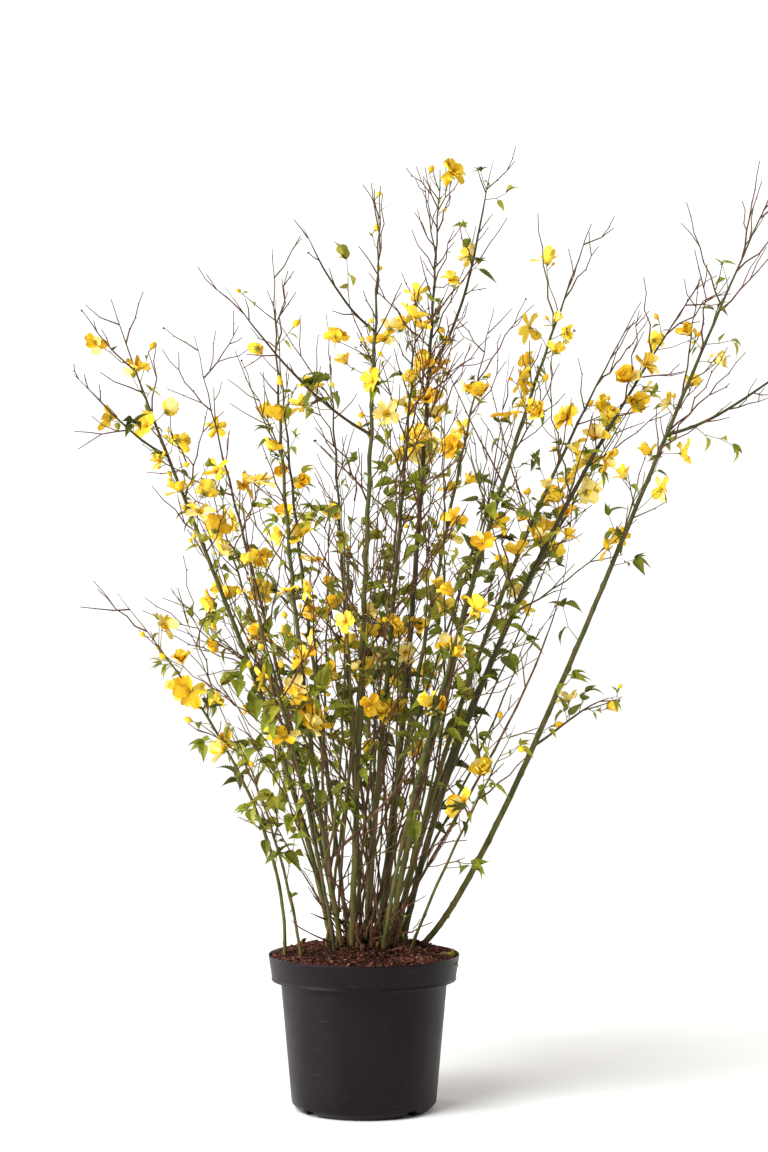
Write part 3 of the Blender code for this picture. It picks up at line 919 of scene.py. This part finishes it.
def pot_mesh():
    """The pot turned round its axis, with rounded edges and sloping notches in its foot."""
    columns = POT_COLUMNS
    turns = 2 * np.pi * np.arange(columns) / columns
    notch = np.zeros(columns)
    for angle in NOTCH_ANGLES:
        away = np.angle(np.exp(1j * (turns - math.radians(angle) + math.pi / 2)))
        width = np.abs(away) * FOOT_RADIUS * 2
        notch = np.maximum(notch, 1 - ramp(width, NOTCH_TOP_WIDTH, NOTCH_WIDTH))
    lift = notch * NOTCH_HEIGHT
    foot_out = notch * (BODY_LOW_RADIUS - FOOT_RADIUS)
    inner_foot = FOOT_RADIUS - NOTCH_DEPTH
    slope = (BODY_TOP_RADIUS - BODY_LOW_RADIUS) / (LIP_LOW_HEIGHT - BODY_LOW_HEIGHT)
    under = LIP_LOW_HEIGHT - WALL
    rings = [
        (INNER_RADIUS, 0),
        (inner_foot - 0.0004, 0),
        (inner_foot, lift),
        (FOOT_RADIUS - 0.0012 + foot_out, lift),
        (FOOT_RADIUS + 0.0006 + foot_out, lift + 0.0004),
        (BODY_LOW_RADIUS - 0.0030 * (1 - notch), np.maximum(lift + 0.0004, 0.0072)),
        (BODY_LOW_RADIUS - 0.0004, 0.0104),
    ]
    for height in np.linspace(0.0130, LIP_LOW_HEIGHT - 0.0045, 22):
        rings.append((BODY_LOW_RADIUS + (height - BODY_LOW_HEIGHT) * slope, height))
    rings += [(BODY_TOP_RADIUS + out, under + up) for out, up in STEP_EDGE]
    rings += [(LIP_LOW_RADIUS + out, under + up) for out, up in LIP_EDGE]
    for share in np.linspace(0.14, 0.94, 8):
        radius = LIP_LOW_RADIUS + (RIM_RADIUS - LIP_LOW_RADIUS) * share
        rings.append((radius, LIP_LOW_HEIGHT + (POT_HEIGHT - LIP_LOW_HEIGHT) * share))
    rings += [(RIM_RADIUS + out, POT_HEIGHT + up) for out, up in RIM_EDGE]
    rings += [
        (LIP_LOW_RADIUS - WALL, LIP_LOW_HEIGHT + WALL),
        (BODY_TOP_RADIUS - WALL, LIP_LOW_HEIGHT),
        (BODY_LOW_RADIUS - WALL, NOTCH_HEIGHT + 2 * WALL),
        (INNER_RADIUS, NOTCH_HEIGHT + WALL),
    ]
    radii, heights = (np.array([np.broadcast_to(x, columns) for x in column]) for column in zip(*rings))
    radii = radii * (1 + OUT_OF_ROUND * np.sin(2 * turns + 0.6)[None] * ramp(heights, 0.02, POT_HEIGHT))
    points = np.stack([radii * np.cos(turns), radii * np.sin(turns), heights], axis=-1).reshape(-1, 3)
    ends = np.array([[0, 0, 0], [0, 0, NOTCH_HEIGHT + WALL]])
    last = len(points) - columns
    return Batch().add(np.concatenate([points, ends]), grid(len(rings), columns, True),
                       fan(0, columns, len(points), True), fan(last, columns, len(points) + 1, False))


# Compost


def smooth_noise(x, y, rng, scale):
    """Uneven ground from waves that run in every direction."""
    total = np.zeros_like(x, dtype=float)
    for _ in range(WAVES):
        turn, phase = rng.uniform(0, 2 * np.pi, 2)
        pitch = scale * rng.uniform(0.5, 2.0)
        total += np.sin((x * np.cos(turn) + y * np.sin(turn)) * pitch + phase)
    return total / math.sqrt(WAVES)


def compost_surface(x, y):
    """The height of the lumpy compost, drawn up a little round the canes."""
    rng = np.random.default_rng(SURFACE_SEED)
    share = np.minimum(np.hypot(x, y) / HEAP_RADIUS, 1.0)
    crown = DRAWN_UP * np.exp(-(((x - 0.01) / 0.06) ** 2) - (((y - 0.01) / 0.06) ** 2))
    lumps = sum(height * smooth_noise(x, y, rng, scale) for height, scale in LUMPS)
    return heap_height(x, y) + crown + lumps * (1.05 - share**4)


def compost_mesh():
    """The lumpy surface of the compost, closed down to the pot inside its rim."""
    columns, rows = HEAP_COLUMNS, HEAP_ROWS
    turns = 2 * np.pi * np.arange(columns) / columns
    shares = np.linspace(1, 0.03, rows) ** 0.9
    radius = (HEAP_RADIUS - 0.0004) * shares[:, None]
    x, y = radius * np.cos(turns)[None], radius * np.sin(turns)[None]
    rng = np.random.default_rng(GRAIN_SEED)
    z = compost_surface(x, y) + rng.normal(0, 0.0006, x.shape)
    wall = np.stack([x[0] * 0.985, y[0] * 0.985, np.full(columns, LIP_LOW_HEIGHT + 0.012)], axis=-1)
    points = np.concatenate([wall, np.stack([x, y, z], axis=-1).reshape(-1, 3)])
    pole = [[0, 0, float(compost_surface(0.0, 0.0))]]
    return Batch().add(np.concatenate([points, pole]), grid(rows + 1, columns, True),
                       fan(rows * columns, columns, len(points), False))


CHIP = np.array([(1, 0, 0), (0.3, 0.9, 0.1), (-0.8, 0.6, 0), (-0.9, -0.5, 0.1), (0.2, -1, 0),
                 (0.1, 0.1, 0.9), (0, 0, -0.8)])
CHIP_FACES = np.array([face for k in range(5) for face in ((k, (k + 1) % 5, 5), ((k + 1) % 5, k, 6))])


def spot(rng, share):
    """A place on the compost within this share of its area."""
    radius = HEAP_RADIUS * math.sqrt(rng.uniform(0, share))
    turn = rng.uniform(0, 2 * math.pi)
    return radius * math.cos(turn), radius * math.sin(turn)


def crumbs():
    """Loose bark chips and peat crumbs at every angle, darker in patches and, as painted shade, round the
    crown.
    """
    rng = np.random.default_rng(CRUMB_SEED)
    tones = ("crumbs_dark", "crumbs_red", "crumbs_tan")
    for _ in range(CRUMBS):
        x, y = spot(rng, 0.96)
        size = CRUMB_SIZE + CRUMB_MORE * rng.beta(1.1, 5)
        if rng.random() < CLODS:
            size += CRUMB_MORE * rng.random()
        stretch = np.array([rng.uniform(*span) for span in CRUMB_STRETCH])
        shape = (CHIP + rng.normal(0, CRUMB_UNEVEN, CHIP.shape)) * stretch * size
        spin = Quaternion(any_direction(rng), between(rng, 0, 1.1))
        spin = spin @ Quaternion(UP, between(rng, 0, ANY_TURN))
        shape = shape @ np.array(spin.to_matrix()).T
        ground = float(compost_surface(x, y)) + size * 0.25
        # Painted shade: round the crown, under the stems, more of the crumbs are dark.
        painted_crown_shade = math.exp(-((x - CROWN[0]) ** 2 + (y - CROWN[1]) ** 2) / 0.05**2)
        patch = float(smooth_noise(x, y, np.random.default_rng(PATCH_SEED), 55.0))
        # The share of dark crumbs: random patches, and the painted shade round the crown.
        dark = min(max(0.46 + 0.30 * patch + 0.4 * painted_crown_shade, 0.10), 0.92)
        tone = rng.choice(tones, p=(dark, 1 - PALE_CRUMBS - dark, PALE_CRUMBS))
        batches[tone].add(shape + (x, y, ground), CHIP_FACES)


def place_on_compost(rng):
    x, y = spot(rng, 0.94)
    return Vector((x, y, float(compost_surface(x, y)) + 0.0012))


def litter():
    """Fibres of bark and roots on the compost, and a few pale grains of grit."""
    rng = np.random.default_rng(LITTER_SEED)
    for _ in range(FIBRES):
        middle = place_on_compost(rng)
        half = (any_direction(rng) * Vector((1, 1, 0.12))) * between(rng, 0.004, 0.013)
        sag = any_direction(rng) * 0.0022
        line = [middle - half, middle - half * 0.4 + sag, middle + half * 0.4 - sag, middle + half]
        thick = between(rng, 0.0003, 0.0008)
        tube("litter", line, np.array((0.5, 1, 1, 0.4)) * thick, 5)
    for _ in range(GRIT):
        size = between(rng, 0.0007, 0.0016)
        shape = (CHIP + rng.normal(0, 0.2, CHIP.shape)) * size
        batches["grit"].add(shape + np.array(place_on_compost(rng)), CHIP_FACES)


# Materials


class Shading:
    """The nodes of a material or of the world. An input takes a value or another node's output."""

    def __init__(self, tree):
        self.tree = tree

    def add(self, kind, inputs, output, **settings):
        node = self.tree.nodes.new(f"ShaderNode{kind}")
        for name, value in settings.items():
            setattr(node, name, value)
        for name, value in inputs.items():
            self.feed(node.inputs[name], value)
        return node.outputs[output]

    def feed(self, socket, value):
        if isinstance(value, bpy.types.NodeSocket):
            self.tree.links.new(value, socket)
        else:
            socket.default_value = value

    def scaled(self, vector, scale):
        return self.add("Mapping", {"Vector": vector, "Scale": scale}, "Vector")

    def noise(self, vector, scale, detail):
        return self.add("TexNoise", {"Vector": vector, "Scale": scale, "Detail": detail}, "Fac")

    def mixed(self, factor, first, tone):
        inputs = {"Factor": factor, "A": first, "B": (*tone, 1)}
        return self.add("Mix", inputs, "Result", data_type="RGBA")

    def ranged(self, value, source, target):
        """The value carried from one range to another and held within it."""
        names = ("Value", "From Min", "From Max", "To Min", "To Max")
        return self.add("MapRange", dict(zip(names, (value, *source, *target))), "Result")

    def toned(self, factor, tones):
        """The tones in turn as the factor crosses the middle of its range."""
        color = self.add("ValToRGB", {"Fac": factor}, "Color")
        stops = color.node.color_ramp.elements
        while len(stops) < len(tones):
            stops.new(0.5)
        for stop, tone, place in zip(stops, tones, np.linspace(0.36, 0.64, len(tones))):
            stop.position = place
            stop.color = (*tone, 1)
        return color


def material(name, finish):
    """Close tones mottled by noise, with uneven roughness and a fine relief."""
    made = bpy.data.materials.new(name)
    made.use_nodes = True
    shader = made.node_tree.nodes["Principled BSDF"].inputs
    shader["Specular IOR Level"].default_value = finish.gloss
    if finish.slot == "pot_plastic":
        shader["Specular Tint"].default_value = POT_SHEEN
    shading = Shading(made.node_tree)
    place = shading.add("TexCoord", {}, "Object")
    vector = shading.scaled(place, finish.stretch)
    mottle = shading.noise(vector, finish.scale, 4)
    color = shading.toned(mottle, finish.tones)
    if finish.top:
        height = shading.add("SeparateXYZ", {"Vector": place}, "Z")
        color = shading.mixed(shading.ranged(height, BARK_DARKENS, (0, 0.85)), color, finish.top)
    if finish.marks:
        scratches = shading.noise(shading.scaled(place, SCRATCH_STRETCH), 9, 5)
        specks = shading.noise(vector, 260, 1)
        for value, source in ((scratches, (0.66, 0.74)), (specks, (0.76, 0.80))):
            color = shading.mixed(shading.ranged(value, source, (0, 0.55)), color, finish.marks)
    shading.feed(shader["Base Color"], color)
    rough = (finish.roughness - 0.08, finish.roughness + 0.08)
    shading.feed(shader["Roughness"], shading.ranged(mottle, (0.3, 0.7), rough))
    if finish.bump:
        grain = shading.noise(vector, finish.grain, 3)
        inputs = {"Height": grain, "Strength": finish.bump, "Distance": 0.001}
        shading.feed(shader["Normal"], shading.add("Bump", inputs, "Normal"))
    return made


POT_SHEEN = (1.0, 0.84, 0.98, 1)
SCRATCH_STRETCH = (3, 3, 60)

# Heights between which the bark of the canes turns darker.
BARK_DARKENS = (0.45, 1.15)

# Finishes: tones, the scale of their mottling and its stretch; bump and its grain; the bark's tone at
# the top of the plant; the tone of scratches and specks; smooth shading; a slot, which only picks out the
# pot.
Finish = namedtuple("Finish", "tones roughness gloss scale stretch bump grain top marks smooth slot")
EVEN = (1, 1, 1)
LONG = (1, 1, 0.05)


def bark(top, *tones):
    return Finish(tones, 0.60, 0.14, 110, LONG, 0.35, 900, top, None, True, "cane_bark")


def wood(*tones):
    return Finish(tones, 0.65, 0.1, 240, EVEN, 0.3, 900, None, None, True, "cane_bark")


def blade(*tones):
    return Finish(tones, 0.52, 0.2, 90, EVEN, 0.3, 700, None, None, False, "foliage")


def bloom(*tones):
    return Finish(tones, 0.58, 0.2, 120, EVEN, 0.25, 600, None, None, True, "foliage")


def soil(*tones):
    return Finish(tones, 0.92, 0.1, 230, EVEN, 0.6, 800, None, None, False, "compost")


FINISHES = {
    "canes_green": bark((0.056, 0.058, 0.02), (0.048, 0.048, 0.012), (0.09, 0.094, 0.02),
        (0.135, 0.1, 0.036)),
    "canes_dark": bark((0.038, 0.036, 0.016), (0.036, 0.036, 0.012), (0.062, 0.062, 0.018),
        (0.09, 0.068, 0.028)),
    "canes_brown": bark((0.04, 0.024, 0.014), (0.046, 0.025, 0.011), (0.088, 0.052, 0.02),
        (0.13, 0.082, 0.034)),
    "stems_old": bark((0.046, 0.023, 0.015), (0.052, 0.025, 0.014), (0.104, 0.052, 0.026),
        (0.16, 0.088, 0.042)),
    "stems_young": bark((0.06, 0.05, 0.014), (0.058, 0.05, 0.014), (0.096, 0.086, 0.02),
        (0.12, 0.078, 0.03)),
    "twigs_bare": wood((0.05, 0.017, 0.01), (0.105, 0.041, 0.022), (0.165, 0.074, 0.04)),
    "twigs_olive": wood((0.052, 0.037, 0.013), (0.104, 0.082, 0.024), (0.142, 0.104, 0.035)),
    "winter_buds": wood((0.07, 0.02, 0.01), (0.13, 0.044, 0.018)),
    "seed_heads": wood((0.01, 0.006, 0.005), (0.026, 0.014, 0.01)),
    "green_shoots": blade((0.11, 0.108, 0.014), (0.175, 0.16, 0.024)),
    "leaves_fresh": blade((0.15, 0.18, 0.01), (0.25, 0.268, 0.018)),
    "leaves_mid": blade((0.09, 0.106, 0.009), (0.155, 0.166, 0.013)),
    "leaves_dark": blade((0.048, 0.056, 0.008), (0.088, 0.095, 0.011)),
    "leaves_young": blade((0.22, 0.22, 0.014), (0.33, 0.3, 0.024)),
    "petals_gold": bloom((0.79, 0.485, 0.015), (0.85, 0.565, 0.03)),
    "petals_bright": bloom((0.85, 0.6, 0.03), (0.89, 0.67, 0.062)),
    # The deep tone is a flower's own colour, and on each petal's throat it is partly painted shade.
    "petals_deep": bloom((0.69, 0.38, 0.008), (0.78, 0.46, 0.014)),
    "petals_pale": bloom((0.87, 0.68, 0.15), (0.91, 0.75, 0.27)),
    "stamens": bloom((0.7, 0.4, 0.01), (0.82, 0.52, 0.02)),
    "sepals": blade((0.15, 0.16, 0.016), (0.21, 0.21, 0.026)),
    "crumbs_dark": soil((0.012, 0.005, 0.005), (0.042, 0.016, 0.012)),
    "crumbs_red": soil((0.08, 0.028, 0.018), (0.18, 0.07, 0.045)),
    "crumbs_tan": soil((0.24, 0.12, 0.07), (0.38, 0.22, 0.14)),
    "litter": soil((0.03, 0.013, 0.008), (0.085, 0.038, 0.02)),
    "grit": soil((0.42, 0.3, 0.19), (0.6, 0.48, 0.36)),
    "compost_bed": soil((0.01, 0.004, 0.003), (0.03, 0.01, 0.006), (0.07, 0.022, 0.012)),
    "pot_shell": Finish(((0.0036, 0.0026, 0.0036), (0.0064, 0.0046, 0.0062)), 0.42, 0.16, 14, EVEN, 0.14,
        260, None, (0.05, 0.042, 0.042), True, "pot_plastic"),
    "floor": Finish(((0.93, 0.93, 0.93), (0.96, 0.96, 0.96)), 0.8, 0.3, 3, EVEN, 0, 0, None, None, False,
        None),
}


def place(name, batch, nodes):
    """Makes a piece of a batch, puts it on the root body and hides the frame's parts it stands for."""
    finish = FINISHES[name]
    piece = batch.object(name, finish.smooth)
    piece.data.materials.append(material(name, finish))
    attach(piece, "root")
    if nodes:
        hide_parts(*nodes)


# Growing


def grow_stems():
    """Thin stems up the canes of the thicket and, in turn, up any cane that doesn't stand clear."""
    thicket = [cane for cane in CANES if cane.name in THICKET]
    around = [cane for cane in CANES if cane.name not in CLEAR]
    for number in range(STEMS):
        rng = np.random.default_rng([SEED, STEM_SEED + number])
        row = thicket if number % 2 else around
        cane = row[number // 2 % len(row)]
        start = cane if rng.random() < STEM_BY_ITS_CANE else around[int(rng.integers(len(around)))]
        stem = thin_stem(start.foot, limbs[start.name], limbs[cane.name], rng)
        limb_mesh("stems_old" if number % 4 < 2 else "stems_young", stem, rng)
        dress_stem(stem, rng)


# Every finish but these three is that of a batch.
batches = {name: Batch() for name in FINISHES if name not in ("compost_bed", "pot_shell", "floor")}
limbs = {cane.name: cane_limb(cane) for cane in CANES}
limbs |= {bough.name: bough_limb(bough, limbs) for bough in BOUGHS}
for number, (name, limb) in enumerate(limbs.items()):
    rng = np.random.default_rng([SEED, number])
    limb_mesh(f"canes_{HABITS[name].bark}", limb, rng)
    dress(name, limb, rng)
grow_stems()
crown()
crumbs()
litter()

# Pieces

all_nodes = list(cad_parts)
masses = [name for name in all_nodes if name.startswith("foliage_")]
bark_nodes = {tone: [] for tone in ("green", "dark", "brown")}
for name in limbs:
    kind = "cane" if f"cane_{name}" in all_nodes else "bough"
    bark_nodes[HABITS[name].bark].append(f"{kind}_{name}")

place("pot_shell", pot_mesh(), ["pot"])
place("compost_bed", compost_mesh(), ["compost"])
for name, batch in batches.items():
    family, tone = name.split("_")[0], name.split("_")[-1]
    grown = masses if family in ("leaves", "twigs", "petals") else []
    place(name, batch, bark_nodes[tone] if family == "canes" else grown)

# Studio: the camera's place, level and square to the front, with its lens and sensor in millimetres.
CAMERA_PLACE = (0.0293, -4.0, 0.78)
LENS = 85.27
SENSOR = 36

bpy.ops.mesh.primitive_plane_add(size=40, location=(0, 8, 0))
floor = bpy.context.object
floor.name = "floor"
floor.data.materials.append(material("floor", FINISHES["floor"]))

# A white backdrop for the camera, and softer light from all round for the plant.
world = bpy.data.worlds.new("studio")
world.use_nodes = True
shading = Shading(world.node_tree)
ambient = world.node_tree.nodes["Background"]
shading.feed(ambient.inputs["Color"], (1, 0.97, 0.92, 1))
shading.feed(ambient.inputs["Strength"], 0.56)
backdrop = shading.add("Background", {"Color": (1, 1, 1, 1), "Strength": 1.15}, "Background")
seen = shading.add("LightPath", {}, "Is Camera Ray")
both = shading.add("MixShader", {"Fac": seen, 1: ambient.outputs["Background"], 2: backdrop}, "Shader")
shading.feed(world.node_tree.nodes["World Output"].inputs["Surface"], both)
bpy.context.scene.world = world

sun = added("key", bpy.data.lights.new("key", "SUN"))
sun.data.energy = 2.5
sun.data.angle = math.radians(28)
sun.rotation_euler = (math.radians(42), 0, math.radians(-38))


def softbox(name, place, aim, size, power):
    """A square lamp that faces the plant."""
    lamp = added(name, bpy.data.lights.new(name, "AREA"))
    lamp.data.size = size
    lamp.data.energy = power
    lamp.location = place
    lamp.visible_camera = False
    lamp.rotation_euler = (Vector(aim) - Vector(place)).to_track_quat("-Z", "Y").to_euler()


softbox("left_front", (-3.0, -1.6, 0.8), (0, 0, 0.3), 2.0, 108)
softbox("left_edge", (-2.6, 1.4, 0.8), (0, 0, 0.4), 1.0, 30)
softbox("right_edge", (2.4, 2.2, 0.8), (0, 0, 0.4), 0.8, 20)

camera = added("camera", bpy.data.cameras.new("camera"))
camera.data.lens = LENS
camera.data.sensor_width = SENSOR
camera.data.clip_end = 100
camera.location = CAMERA_PLACE
camera.rotation_euler = (math.radians(90), 0, 0)
bpy.context.scene.camera = camera

bpy.context.scene.view_settings.view_transform = "Standard"
